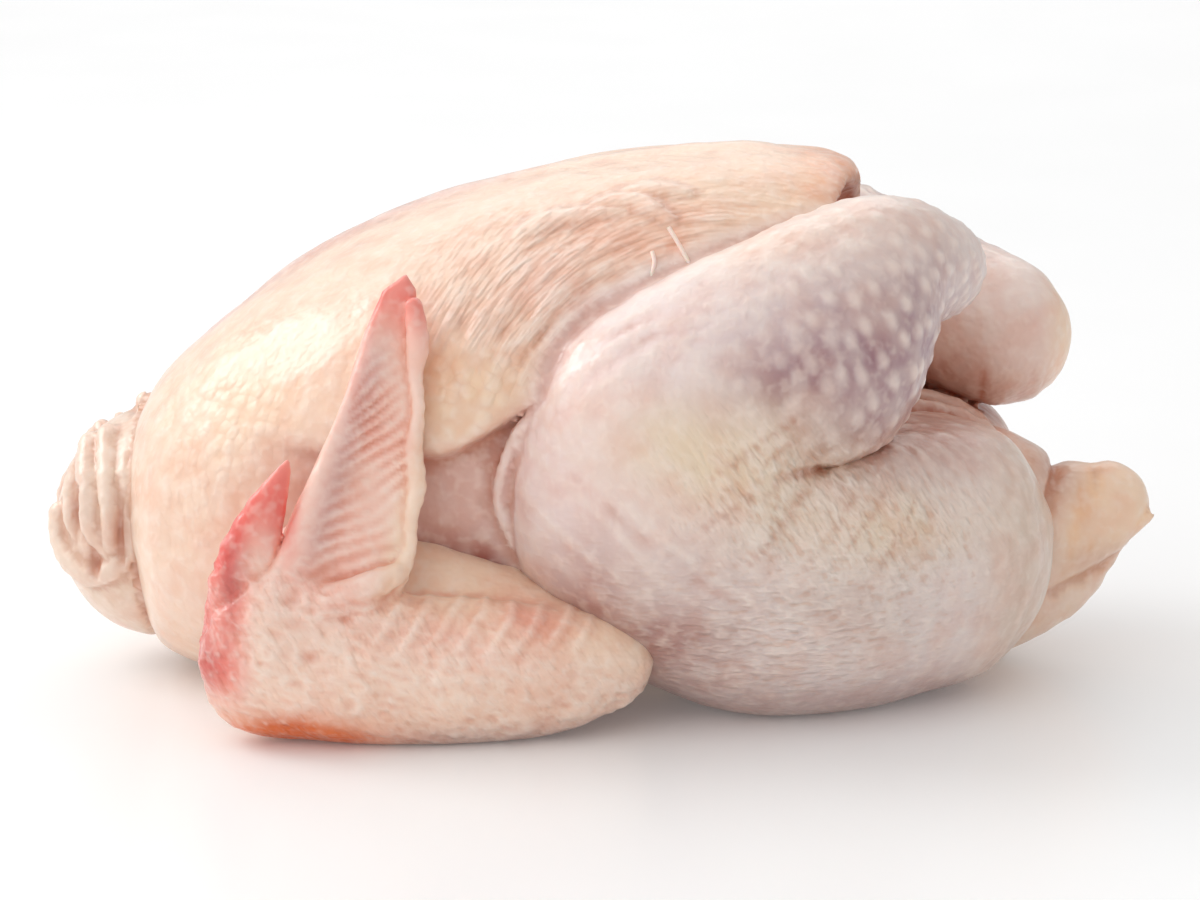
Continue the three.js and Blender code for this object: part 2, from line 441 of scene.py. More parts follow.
def joined_points(points, faces):
    """The pairs of points that share an edge, and how many such pairs each point is in."""
    pairs = np.concatenate([faces[:, [i, (i + 1) % 4]] for i in range(4)])
    return pairs, np.maximum(np.bincount(pairs[:, 0], minlength=len(points)), 1)[:, None]


def mean_round(points, pairs, degree):
    """The mean place of the points joined to each point."""
    total = [np.bincount(pairs[:, 0], points[pairs[:, 1], k], len(points)) for k in range(3)]
    return np.stack(total, -1) / degree


def in_parts(form, points, size=120_000):
    """form at each point, worked out in parts of this size to spare memory."""
    parts = [form(points[i : i + size]) for i in range(0, len(points), size)]
    return np.concatenate(parts).astype(np.float32)


def cell_corners(values):
    """The eight corner values of every cell of a grid."""
    n = values.shape
    return [
        values[i : n[0] - 1 + i, j : n[1] - 1 + j, k : n[2] - 1 + k]
        for i in (0, 1)
        for j in (0, 1)
        for k in (0, 1)
    ]


def sample_near_surface(form, low, step, counts):
    """form on a fine grid, worked out only in the blocks that its surface may cross."""
    wide = step * BLOCK
    grid = np.stack(np.meshgrid(*[np.arange(n + 1) for n in counts], indexing="ij"), -1)
    coarse = in_parts(form, (low + wide * grid.reshape(-1, 3)).astype(np.float32)).reshape(grid.shape[:3])
    slope = np.sqrt(sum(g * g for g in np.gradient(coarse, wide)))
    near = np.abs(coarse) / np.maximum(slope, 1.0) < 1.25 * wide
    active = np.argwhere(np.any(cell_corners(near), axis=0))
    fine = np.ones([n * BLOCK + 1 for n in counts], np.float32)
    fine[:-1, :-1, :-1] = np.kron(coarse[:-1, :-1, :-1], np.ones((BLOCK,) * 3, np.float32))
    offsets = np.stack(np.meshgrid(*[np.arange(BLOCK)] * 3, indexing="ij"), -1).reshape(-1, 3)
    index = (active[:, None] * BLOCK + offsets).reshape(-1, 3)
    fine[tuple(index.T)] = in_parts(form, (low + step * index).astype(np.float32))
    return fine


def surface_cells(fine):
    """The cells that the surface crosses, and the place of the skin in each, in cell widths."""
    inside = fine < 0
    filled = sum(corner.astype(np.uint8) for corner in cell_corners(inside))
    cells = np.argwhere((filled > 0) & (filled < 8))
    total = np.zeros((len(cells), 3), np.float32)
    hits = np.zeros((len(cells), 1), np.float32)
    corners = [np.array([i, j, k]) for i in (0, 1) for j in (0, 1) for k in (0, 1)]
    for a in corners:
        for axis in range(3):
            if a[axis]:
                continue
            b = a + np.eye(3, dtype=int)[axis]
            fa = fine[tuple((cells + a).T)]
            fb = fine[tuple((cells + b).T)]
            crossed = (fa < 0) != (fb < 0)
            t = np.where(crossed, fa / np.where(crossed, fa - fb, 1.0), 0.0)[:, None]
            total += crossed[:, None] * (a + t * (b - a))
            hits += crossed[:, None]
    return cells, cells + total / hits


def surface_faces(fine, cells):
    """A four-sided face round each grid edge that the surface crosses, facing outwards."""
    number = np.full([n - 1 for n in fine.shape], -1, np.int32)
    number[tuple(cells.T)] = np.arange(len(cells))
    inside = fine < 0
    faces = []
    for axis in range(3):
        ahead = np.roll(inside, -1, axis)
        crossed = np.argwhere((inside != ahead)[1:-1, 1:-1, 1:-1]) + 1
        u, v = np.eye(3, dtype=int)[[(axis + 1) % 3, (axis + 2) % 3]]
        ring = [crossed - u - v, crossed - v, crossed, crossed - u]
        quad = np.stack([number[tuple(c.T)] for c in ring], -1)
        turn = ~inside[tuple(crossed.T)]
        quad[turn] = quad[turn][:, ::-1]
        faces.append(quad)
    return np.concatenate(faces)


def slope_of(form, points, step=0.25):
    """form and its gradient at each point."""
    here = in_parts(form, points)
    ahead = [in_parts(form, points + np.float32(step) * axis) for axis in np.eye(3, dtype=np.float32)]
    return here, (np.stack(ahead, -1) - here[:, None]) / step


def skin_over(form, low, high, step, rounds=2):
    """Points, outward normals and four-sided faces over form's surface, on cells of this width."""
    low, high = np.array(low, float), np.array(high, float)
    counts = np.ceil((high - low) / (step * BLOCK)).astype(int)
    fine = sample_near_surface(form, low, step, counts)
    cells, places = surface_cells(fine)
    faces = surface_faces(fine, cells)
    points = (low + step * places).astype(np.float32)
    pairs, degree = joined_points(points, faces)
    for _ in range(rounds):
        points = (0.5 * points + 0.5 * mean_round(points, pairs, degree)).astype(np.float32)
        value, slope = slope_of(form, points)
        size = np.maximum(np.einsum("ij,ij->i", slope, slope), 0.05)
        move = (value / size)[:, None] * slope
        move *= np.minimum(1.0, step / np.maximum(np.linalg.norm(move, axis=1), 1e-6))[:, None]
        points = (points - move).astype(np.float32)
    value, slope = slope_of(form, points)
    normals = slope / np.maximum(np.linalg.norm(slope, axis=1), 1e-6)[:, None]
    return points, normals, faces


# ---------------------------------------------------------------------------------------------
# Fine form: wrinkles, ridges and lumps, as a height above the smooth skin
# ---------------------------------------------------------------------------------------------
GATHER = (30.0, 58.0)  # x and height about which the wrinkles of the breast skin turn

# Raised pleats of the breast skin, and creases sunk in the leg where its fold runs out, as x, height
# and half width.
PLEATS = [
    [[-20.6, 115.9, 0.3], [-16.5, 117.8, 1.2], [-12.2, 119.4, 1.3], [-3.6, 121, 1.1], [6.1, 121.5, 0.3]],
    [
        [-3.7, 121.6, 0.3], [0.7, 123.1, 1.1], [4.9, 123.8, 1.3],
        [9.7, 123.4, 1.2], [13.4, 122.1, 0.9], [17, 120, 0.6],
    ],
    [[6.1, 125.6, 0.3], [13.5, 126.3, 1.0], [22, 125.3, 0.3]],
]
CREASES = [
    [[29, 62.7, 0.2], [35.6, 60.3, 0.7], [41.5, 57.9, 0.2]],
    [[34.6, 44.6, 0.2], [41.5, 51.9, 0.6], [47.5, 59.8, 0.7]],
    [[54.6, 43.4, 0.2], [62.2, 51.9, 0.6], [67.6, 58.6, 0.6]],
    [[47.5, 43.4, 0.2], [54.6, 51.1, 0.6], [59.3, 57.9, 0.6]],
    [[66, 42, 0.2], [71, 49, 0.5], [75, 56, 0.5]],
    [[23.7, 53, 0.2], [30.8, 57.9, 0.6], [41, 61.5, 1.1]],
    [[33.4, 70.3, 0.5], [39, 74.5, 0.6], [44.8, 78.2, 0.2]],
    [[37, 67.0, 0.6], [41, 70.3, 0.6], [45.6, 73.6, 0.2]],
    [[27, 66.5, 0.2], [31, 68.5, 0.6], [36, 73.0, 0.2]],
]


def drawn_lines(p, rows):
    """1 on lines drawn on the sides of the bird, 0 off them."""
    flat = p * np.float32([1, 0, 1])
    total = np.zeros(len(p), np.float32)
    for row in rows:
        near = np.abs(p[:, 0] - row[len(row) // 2][0]) < 24
        distance = limb(flat[near], [[x, 0, z, r] for x, z, r in row], 8)
        total[near] = np.maximum(total[near], ramp(distance, 1.1, -0.9))
    return total * ramp(np.abs(p[:, 1]), 12, 24)


def round_gather(p):
    """Distance from the middle of the gathers, and the angle up from the left, in radians."""
    across, up = GATHER[0] - p[:, 0], p[:, 2] - GATHER[1]
    return np.hypot(across, up), np.arctan2(up, across)


def gathered_where(p):
    """1 where the breast skin is gathered: in front of the leg, and along the top of it."""
    x, y, z = p.T
    flat = np.stack([x, 0 * y, z], -1)
    before_leg = blob(flat, (-12, 0, 103), (27, 1, 16))
    over_leg = blob(flat, (26, 0, 119), (28, 1, 8))
    return np.clip(1.4 * before_leg + 0.8 * over_leg, 0, 1) * ramp(np.abs(y), 22, 36)


def gathered_skin(p):
    """Wrinkles that run up beside the leg, and long raised pleats above them."""
    away, turn = round_gather(p)
    q = np.stack([away + 1.4 * rough_body(p, 9.0), 26.0 * turn, 0.1 * p[:, 1]], -1)
    coarse = 1.0 - 2.2 * np.abs(rough_body(q, (3.6, 14.0, 9.0)))
    return 0.5 * coarse * gathered_where(p) + 1.2 * drawn_lines(p, PLEATS)


def stretched_skin(p):
    """Long soft folds down the front of the thigh, and rings round the rump and the left hock."""
    x, y, z = p.T
    down = 0.64 * (x + 24.0) + 0.77 * (z - 66.0)
    front = 1.0 - 2.0 * np.abs(rough_body(np.stack([down, 0.1 * z - 0.1 * x, 0.1 * y], -1), (5.2, 6.0, 9.0)))
    front = front * blob(p, (2, -82, 42), (24, 30, 30)) + front * blob(p, (2, 82, 42), (24, 30, 30))
    rump = np.hypot(x - 30.0, z - 50.0) + 1.5 * rough_fold(p, 12.0)
    rings = 1.0 - 2.0 * np.abs(rough_fold(np.stack([rump, 0.06 * z, 0.1 * y], -1), (4.4, 2.0, 7.0)))
    rings = rings * ramp(x, 86, 102) * ramp(z, 70, 55)
    hock = 1.0 - 2.0 * np.abs(rough_fold(np.stack([x, 0.15 * z, 0.2 * y], -1), (3.4, 5.0, 5.0)))
    hock = hock * blob(p, (104, 22, 68), (16, 20, 12))
    sunk = drawn_lines(p, CREASES) * ramp(np.abs(y), 50, 60)
    return 0.45 * front + 0.5 * rings + 0.5 * hock - 0.3 * sunk


def soft_lumps(p):
    """The gentle unevenness of flesh under skin, at three sizes."""
    return 1.0 * rough_body(p, 31.0) + 0.45 * rough_fold(p, 13.0) + 0.16 * rough_body(p, 4.6)


def body_relief(p):
    """Height of the body's folds, wrinkles and lumps. It ends where the skin rests on the table."""
    resting = ramp(p[:, 2], 0.5, 8.0)
    dent = bell(0.7 * (p[:, 0] - 112) - 0.7 * (p[:, 2] - 86), 0, 5.0) * blob(p, (116, 14, 84), (12, 26, 16))
    return resting * (gathered_skin(p) + stretched_skin(p) + soft_lumps(p) - 1.0 * dent)


def quill_ridges(p):
    """Rows of ridges where the flight feathers were: across the hand and along the forearm."""
    x, y, z = p.T
    u, v, w = in_hand(p)
    slant = np.interp(u, [15, 40, 62], [0.55, 0.9, 1.5])
    wave = np.cos(2 * np.pi * (u - slant * (v - 8.0) + 2.4 * rough_fold(p, 9.0)) / 4.6)
    edge = np.interp(u, [28, 38, 52, 70, 86], [18.2, 17.2, 13.8, 9, 4.5])
    on_hand = wave * ramp(u, 8, 18) * ramp(u, 80, 62) * ramp(w, -2, 1)
    on_hand = on_hand * ramp(v, -5, 1) * ramp(v, edge - 0.8, edge - 3.5)
    step = (x - 0.75 * (z - 27.0) + 0.8 * rough_body(p, 8.0)) / 7.0
    ridge = bell(step - np.floor(step), 0.5, 0.2)
    on_forearm = ridge * ramp(z, 22, 27) * ramp(z, 37, 33) * ramp(x, -62, -50)
    on_forearm = on_forearm * ramp(x, 4, -6) * ramp(y, 70, 82)
    return 0.5 * on_hand * (0.7 + 0.8 * rough_body(p, 9.0)) + 0.8 * on_forearm


def on_blade(p):
    """1 on the flat of the hand, 0 on the wrist and the arm."""
    return ramp(in_hand(p)[0], 12, 26) * ramp(p[:, 1], 60, 66)


def wing_relief(p):
    """Height of the wing's creases, lumps and quill ridges."""
    x, y, z = p.T
    resting = ramp(z, 0.5, 5.0)
    blade = on_blade(p)
    lumps = 0.55 * rough_fold(p, 7.0) + 0.3 * rough_body(p, (4.2, 4.2, 2.6)) + 0.12 * rough_fold(p, 1.9)
    creased = 1.0 - 2.2 * np.abs(rough_body(np.stack([x - 0.5 * z, y, z + 0.35 * x], -1), (5.0, 7.0, 2.6)))
    wrist = blob(p, (-76, 94, 34), (16, 16, 16))
    lumps = lumps * (1.0 - 0.7 * blade)
    return resting * (lumps + 0.26 * creased * (1 - blade) + 0.3 * creased * wrist + quill_ridges(p))


# ---------------------------------------------------------------------------------------------
# Colour of the skin, painted on the points
# ---------------------------------------------------------------------------------------------
def on_one_side(p):
    """Each point, or its mirror image where it lies on the bird's right."""
    return np.stack([p[:, 0], np.abs(p[:, 1]), p[:, 2]], -1)


def linear(red, green, blue):
    """A colour given on the usual 0 to 255 scale, as the linear values that materials use."""
    c = np.array([red, green, blue]) / 255.0
    return tuple(np.where(c <= 0.04045, c / 12.92, ((c + 0.055) / 1.055) ** 2.4))


def washed(colour, palette, layers):
    """A colour under layers of tint, laid in order. Each is the tint's name and its strength."""
    colour = np.array(colour)
    for name, strength in layers:
        over = np.array(getattr(palette, name))
        colour = colour + (over - colour) * np.clip(strength, 0.0, 1.0)[:, None]
    return colour


def hollows(points, normals, faces, rounds):
    """How deep each point lies in a fold, from the skin round it: over 0 in folds, under 0 on ridges."""
    pairs, degree = joined_points(points, faces)
    mean = points
    for _ in range(rounds):
        mean = mean_round(mean, pairs, degree)
    return np.einsum("ij,ij->i", mean - points, normals)


def paint_body(p, on_leg, depth, crinkle, palette):
    """The colour of every point of the body: breast and flank, legs, tail, neck, then painted shade in the
    folds and hollows, and painted highlight on the tops of wrinkles.
    """
    x, y, z = p.T
    side = np.abs(y)
    mirrored = on_one_side(p)
    n = rough_body(p, 17.0)
    streak = rough_fold(p, (14.0, 14.0, 9.0))

    def patch(centre, radii, strength=1.0, ragged=0.35):
        return np.clip(blob(mirrored, centre, radii) * strength * (1.0 + ragged * (n + streak)), 0, 1)

    far_breast = ramp(y, -9.0, 4.0) * ramp(x, 0, -30) * ramp(z, 70, 84)
    strip = bell(y, 3.0, 9.0) * ramp(x, -104, -84) * ramp(x, -14, -34) * ramp(z, 70, 84)
    below = ramp(z, breast_edge(x) + 1.0, breast_edge(x) - 5.0) * ramp(side, 30, 45) * ramp(x, 12, -8)
    breast = [
        ("fat", patch((-28, 62, 84), (24, 30, 13), 0.75)),
        ("fat", patch((-88, 50, 76), (22, 34, 16), 0.45)),
        ("fat", patch((40, 40, 124), (30, 40, 12), 0.4)),
        ("rear_tip", ramp(x, 42, 66) * ramp(z, 96, 112) * ramp(side, 46, 26)),
        ("raw_pink", patch((-2, 60, 104), (34, 30, 17), 0.85)),
        ("warm", patch((20, 50, 116), (26, 26, 9), 0.6)),
        ("grey_pink", 0.7 * far_breast),
        ("keel", 0.9 * strip),
        # Painted shade on the thin skin of the flank, under the breast's edge and behind the wing.
        ("flank", 0.8 * below * ramp(x, -90, -60)),
        # Dark red flesh and painted shade, deep in the flank under the breast's edge.
        ("blood", 1.0 * below * ramp(z, 53, 36) * ramp(x, -70, -46)),
    ]
    legs = [
        ("leg_pink", patch((0, 72, 76), (30, 40, 32), 0.95)),
        ("cream", patch((46, 52, 118), (34, 30, 12), 0.7)),
        ("purple", patch((59, 80, 80), (27, 32, 20), 1.6)),
        ("purple", patch((74, 60, 97), (28, 36, 18), 0.85, 0.3)),
        ("crease_yellow", patch((36, 76, 67), (22, 30, 14))),
        ("crease_yellow", patch((20, 80, 73), (20, 30, 11), 0.8)),
        ("crease_yellow", patch((66, 76, 51), (28, 40, 10), 0.85)),
        ("thigh", patch((44, 80, 30), (50, 40, 24), 0.7)),
        # Painted shade: the legs darken low down, by the table.
        ("shade_by_table", ramp(z, 20, 2) * 0.75),
        ("leg_shade", patch((6, 80, 22), (26, 26, 22), 1.1)),
        ("rump", ramp(x, 86, 104) * ramp(z, 76, 60) * 0.7),
        ("hock", blob(p, (104, 22, 80), (24, 26, 26)) * 0.9),
        ("fold", blob(p, (98, 20, 60), (24, 26, 12))),
    ]
    inner = ramp(x, 70, 90) * ramp(side, 34, 20) * ramp(z, 50, 62) * ramp(z, 96, 84)
    groin = ramp(side, 28, 16) * bell(z, 66, 9) * ramp(x, 68, 78) * ramp(x, 106, 98)
    behind_knee = blob(mirrored, (72, 60, 62), (34, 60, 10)) * ramp(depth, 0.25, 1.3)
    # The hollow under the breast's rear end, where shade is painted.
    recess = blob(p, (64, 0, 112), (12, 32, 14)) * ramp(ball(p, HOOD, HOOD_RADII), 1.2, 0.2)
    pinches = [
        blob(mirrored, (neck_x, on_neck(neck_x, neck_z), neck_z), (2.4, 5.0, tall))
        for neck_x, neck_z, tall in NECK_PINCHES
    ]
    # Painted shade in the folds: the groin, the tail's creases, behind the knees and wherever the skin lies
    # deep. The inner flesh, the tail and the neck keep their own colours.
    folds = [
        ("raw_pink", inner * 0.7 * (1 - blob(p, (108, 24, 84), (20, 20, 20)))),
        ("fold", 0.75 * groin),
        # Dark red flesh and painted shade, deep in the groin's fold.
        ("blood", groin * ramp(depth, 0.1, 0.8) * 0.6),
        ("tail", ramp(x, 112, 122) * ramp(z, 18, 30)),
        ("fold", blob(p, (116, -10, 51), (7, 22, 7)) * 0.9),
        ("fold", blob(p, (128, -8, 28), (12, 24, 5)) * 0.5),
        # Painted shade in the crease behind the knees.
        ("recess", 0.7 * behind_knee),
        ("fold", 0.9 * blob(mirrored, (82, 52, 69), (18, 40, 7))),
        ("neck", ramp(x, -112, -118) * 0.8),
        # Painted shade in the hollow under the breast's rear end.
        ("recess", 1.6 * recess),
        # Painted shade in the neck's pinched places.
        *[("recess", 0.5 * pinch) for pinch in pinches],
        ("fold", 0.62 * ramp(depth, 0.35, 1.7)),
        ("fold", 0.34 * ramp(crinkle, 0.015, 0.12)),
        # Painted highlight on the tops of the wrinkles.
        ("ridge", 0.3 * ramp(-crinkle, 0.01, 0.1)),
    ]
    breast_colour = washed(palette.cream, palette, breast)
    leg_colour = washed(palette.leg, palette, legs)
    return washed(breast_colour + (leg_colour - breast_colour) * on_leg[:, None], palette, folds)


def leg_distance(p):
    """Distance to the nearer leg, negative inside it."""
    return np.minimum(leg(p, RIGHT), leg(p, LEFT))


def leg_lie(p):
    """Where each point lies on its drumstick: along it, and round it."""
    start = np.array(KNEE[:3], float)
    axis = np.array(RIGHT_HOCK[-1][:3]) - start
    axis = axis / np.linalg.norm(axis)
    outwards = np.array([0.0, 1.0, 0.0]) - axis[1] * axis
    outwards = outwards / np.linalg.norm(outwards)
    q = on_one_side(p) - start
    turn = np.arctan2(q @ np.cross(axis, outwards), q @ outwards)
    return np.stack([q @ axis, 26.0 * turn, np.zeros(len(p))], -1)


def body_masks(p, on_leg):
    """Where the skin is pimpled by the feather roots, and where it is gathered or creased."""
    mirrored = on_one_side(p)
    pimples = blob(mirrored, (66, 52, 94), (44, 44, 32)) * on_leg
    steep = blob(mirrored, (40, 76, 62), (26, 34, 16)) + 0.8 * blob(mirrored, (74, 70, 50), (30, 40, 16))
    level = blob(mirrored, (46, 80, 28), (48, 44, 24))
    fat = blob(mirrored, (-28, 62, 82), (24, 30, 13)) + 0.5 * blob(mirrored, (-92, 50, 68), (20, 40, 24))
    return {
        "pimples": np.clip(1.5 * pimples, 0, 1) * ramp(p[:, 0], 14, 44),
        "gathered": gathered_where(p) * (1.0 - on_leg),
        "steep": np.clip(1.2 * steep * on_leg, 0, 1),
        "level": np.clip(level * on_leg, 0, 1),
        "cobbles": np.clip(fat + 0.12, 0, 1),
    }


def paint_wing(p, depth, crinkle, palette):
    """The colour of every point of the wing: flushed along the edges and red at the tips, with painted shade
    low by the table and in the folds, and painted highlight on the tops of wrinkles.
    """
    x, y, z = p.T
    u, v, w = in_hand(p)
    n = rough_body(p, 9.0)
    bone = bell(v, -3.5 + 0.03 * u, 3.4) * ramp(u, 14, 30) * ramp(u, 84, 66) * ramp(w, 0, 2)
    knuckle = blob(p, (-12, 92, 30), (6, 20, 5)) + blob(p, (-19, 92, 32), (5, 20, 4))
    tip = ramp(u, 74, 89) + 0.5 * ramp(u, 52, 80) * ramp(v, -1.5, -4.5)
    edge = ramp(x, -79.0, -88.5) * ramp(z, 6, 22) + ramp(z, 42, 58) * ramp(x, -69, -74) * ramp(y, 74, 78)
    layers = [
        ("cream", blob(p, (-30, 96, 10), (50, 20, 14)) * 0.5),
        ("wing_pink", blob(p, (-20, 90, 30), (40, 20, 8)) * (0.55 + 0.4 * n)),
        ("wing_pink", ramp(u, 4, 20) * ramp(v, 16, 6) * (0.7 + 0.3 * n)),
        ("crease_yellow", ramp(u, 10, 24) * ramp(v, 11, 16) * 0.5),
        # Painted shade: the forearm darkens low down, by the table.
        ("shade_by_table", ramp(z, 9, 1) * ramp(x, -60, -40) * 0.6),
        ("purple", 0.4 * bone),
        ("red", 0.35 * knuckle),
        # Painted shade in the wing's folds and wrinkles.
        ("wing_fold", 0.6 * ramp(depth, 0.22, 1.0)),
        ("wing_fold", 0.2 * ramp(crinkle, 0.01, 0.12)),
        # Painted highlight on the tops of the wrinkles.
        ("ridge", 0.25 * ramp(-crinkle, 0.01, 0.1)),
        ("red", tip * 0.75),
        ("red", edge * (0.9 + 0.3 * n)),
        ("deep_red", blob(p, (-92.5, 84, 22), (4, 14, 10)) * 0.6),
        ("deep_red", blob(p, (-86.5, 88, 42), (3, 14, 12)) * 0.5),
        ("orange", blob(p, (-72, 92, 1.5), (18, 20, 6.5)) * 1.8),
    ]
    return washed(palette.wing, palette, layers)


# ---------------------------------------------------------------------------------------------
# Node trees, written as expressions
# ---------------------------------------------------------------------------------------------
class Value:
    """A number, vector or colour flowing through a node tree. Arithmetic on a number adds Math nodes."""

    def __init__(self, tree, socket):
        self.tree, self.socket = tree, socket

    def _math(self, operation, *values):
        return self.tree.make("ShaderNodeMath", {"operation": operation}, *values)

    def __add__(self, other):
        return self._math("ADD", self, other)

    def __sub__(self, other):
        return self._math("SUBTRACT", self, other)

    def __rsub__(self, other):
        return self._math("SUBTRACT", other, self)

    def __mul__(self, other):
        return self._math("MULTIPLY", self, other)

    def __truediv__(self, other):
        return self._math("DIVIDE", self, other)

    def __rtruediv__(self, other):
        return self._math("DIVIDE", other, self)

    def __abs__(self):
        return self._math("ABSOLUTE", self)

    __radd__ = __add__
    __rmul__ = __mul__

    def ramp(self, start, end, low=0.0, high=1.0):
        """low before start and high after end, with a smooth rise between."""
        settings = {"interpolation_type": "SMOOTHSTEP"}
        return self.tree.make("ShaderNodeMapRange", settings, self, start, end, low, high)


class Tree:
    """Builds one node tree. make() adds any node from its type, its settings and its sockets' values."""

    def __init__(self, owner):
        self.owner = owner
        owner.nodes.clear()

    def make(self, kind, settings=None, *values, out=0, **named):
        node = self.owner.nodes.new(kind)
        for name, value in (settings or {}).items():
            setattr(node, name, value)
        for key, value in [*enumerate(values), *named.items()]:
            socket = self.socket(node.inputs, key)
            if isinstance(value, Value):
                self.owner.links.new(value.socket, socket)
            else:
                socket.default_value = value
        return Value(self, self.socket(node.outputs, out)) if node.outputs else node

    @staticmethod
    def socket(sockets, key):
        """A socket by its number, or by its name in small letters with underscores."""
        if isinstance(key, int):
            return sockets[key]
        found = [s for s in sockets if s.name.lower().replace(" ", "_") == key and s.enabled]
        if not found:
            raise KeyError(f"no socket {key} among {[s.name for s in sockets]}")
        return found[0]

    def vector(self, operation, *values, **named):
        return self.make("ShaderNodeVectorMath", {"operation": operation}, *values, **named)

    def parts(self, vector):
        """The three numbers of a vector."""
        node = self.owner.nodes.new("ShaderNodeSeparateXYZ")
        self.owner.links.new(vector.socket, node.inputs[0])
        return [Value(self, output) for output in node.outputs]

    def vector_number(self, operation, *values):
        """A vector calculation whose result is a number."""
        return self.make("ShaderNodeVectorMath", {"operation": operation}, *values, out="value")

    def mix(self, factor, a, b, blend="MIX"):
        """Colour a turning into b. The colours are a Mix node's seventh and eighth sockets."""
        node = self.owner.nodes.new("ShaderNodeMix")
        node.data_type, node.blend_type = "RGBA", blend
        for key, value in ((0, factor), (6, a), (7, b)):
            if isinstance(value, Value):
                self.owner.links.new(value.socket, node.inputs[key])
            else:
                node.inputs[key].default_value = value
        return Value(self, node.outputs[2])

    def noise(self, place, scale, detail):
        named = {"vector": place, "scale": scale, "detail": detail}
        return self.make("ShaderNodeTexNoise", {"normalize": True}, **named)

    def voronoi(self, place, scale, randomness=1.0, **settings):
        named = {"vector": place, "scale": scale, "randomness": randomness}
        return self.make("ShaderNodeTexVoronoi", settings, out="distance", **named)


# ---------------------------------------------------------------------------------------------
# Patterns of the skin, shared by the relief and the material. Places and sizes are in metres.
# ---------------------------------------------------------------------------------------------
SLANT = math.radians(34)
STEEP_GRAIN = (1.5, 0.6, 0.55)  # wrinkles drawn out along the slant
LEVEL_GRAIN = (0.55, 0.6, 1.5)  # wrinkles drawn out along the bird


def pimple_pattern(tree, lie, spacing):
    """1 on each feather root, falling to 0 between them. lie runs along the limb and round it."""
    distance = tree.voronoi(lie, 1.0 / spacing, randomness=0.55, voronoi_dimensions="2D")
    return distance.ramp(0.42, 0.06)


def wrinkles(tree, place, spacing, gathered, steep, level):
    """Fine wrinkles, 0 on average: round the gathers, along the slant, and along the bird."""
    x, y, z = tree.parts(place)
    across = GATHER[0] * 0.001 - x
    up = z - GATHER[1] * 0.001
    away = tree.make("ShaderNodeMath", {"operation": "SQRT"}, across * across + up * up)
    turn = tree.make("ShaderNodeMath", {"operation": "ARCTAN2"}, up, across)
    polar = tree.make("ShaderNodeCombineXYZ", {}, away * 1.5, turn * 0.012, y * 0.4)
    leaning = tree.make("ShaderNodeVectorRotate", {"rotation_type": "Y_AXIS"}, vector=place, angle=SLANT)
    slanted = tree.vector("MULTIPLY", leaning, STEEP_GRAIN)
    flat = tree.vector("MULTIPLY", place, LEVEL_GRAIN)
    total = 0.0
    for drawn, mask in ((polar, gathered), (slanted, steep), (flat, level)):
        total = (tree.noise(drawn, 1.0 / spacing, 1.0) - 0.5) * mask + total
    return total


# ---------------------------------------------------------------------------------------------
# Relief that repeats over the skin, by Geometry Nodes
# ---------------------------------------------------------------------------------------------
def relief_tree():
    """Raises the feather roots and the larger wrinkles on a smooth skin."""
    group = bpy.data.node_groups.new("Skin relief", "GeometryNodeTree")
    face = group.interface
    face.new_socket("Skin", in_out="INPUT", socket_type="NodeSocketGeometry")
    for name in ("Pimple spacing", "Pimple height", "Wrinkle spacing", "Wrinkle depth"):
        face.new_socket(name, in_out="INPUT", socket_type="NodeSocketFloat")
    face.new_socket("Finish", in_out="INPUT", socket_type="NodeSocketMaterial")
    face.new_socket("Skin", in_out="OUTPUT", socket_type="NodeSocketGeometry")
    tree = Tree(group)
    inputs = group.nodes.new("NodeGroupInput")
    skin, spacing, height, fine, depth, finish = (Value(tree, inputs.outputs[i]) for i in range(6))

    def painted(name, kind="FLOAT"):
        return tree.make("GeometryNodeInputNamedAttribute", {"data_type": kind}, name, out="attribute")

    place = tree.make("GeometryNodeInputPosition")
    roots = pimple_pattern(tree, painted("lie", "FLOAT_VECTOR"), spacing) * painted("pimples") * height
    folds = wrinkles(tree, place, fine, painted("gathered"), painted("steep"), painted("level")) * depth
    normal = tree.make("GeometryNodeInputNormal")
    offset = tree.vector("SCALE", normal, scale=roots + folds)
    raised = tree.make("GeometryNodeSetPosition", {}, skin, offset=offset)
    plain = tree.make("GeometryNodeRealizeInstances", {}, raised)
    finished = tree.make("GeometryNodeSetMaterial", {}, plain, material=finish)
    tree.make("NodeGroupOutput", {}, finished)
    return group


def built_mesh(item, group, values):
    """The mesh that a node group makes of an object, with its inputs set by their names."""
    modifier = item.modifiers.new(group.name, "NODES")
    modifier.node_group = group
    for socket in group.interface.items_tree:
        if socket.in_out == "INPUT" and socket.name in values:
            modifier[socket.identifier] = values[socket.name]
    depsgraph = bpy.context.evaluated_depsgraph_get()
    mesh = bpy.data.meshes.new_from_object(item.evaluated_get(depsgraph), depsgraph=depsgraph)
    item.modifiers.remove(modifier)
    return mesh


def relieved(skin, group, sizes, finish):
    """skin with the relief in its mesh."""
    mesh = built_mesh(skin, group, {**sizes, "Finish": finish})
    rough = skin.data
    skin.data = mesh
    bpy.data.meshes.remove(rough)
    mesh.name = skin.name
    return skin


# ---------------------------------------------------------------------------------------------
# Finish
# ---------------------------------------------------------------------------------------------
FOLD_HEIGHT = 0.0012  # metres that the finest folds seem to stand up


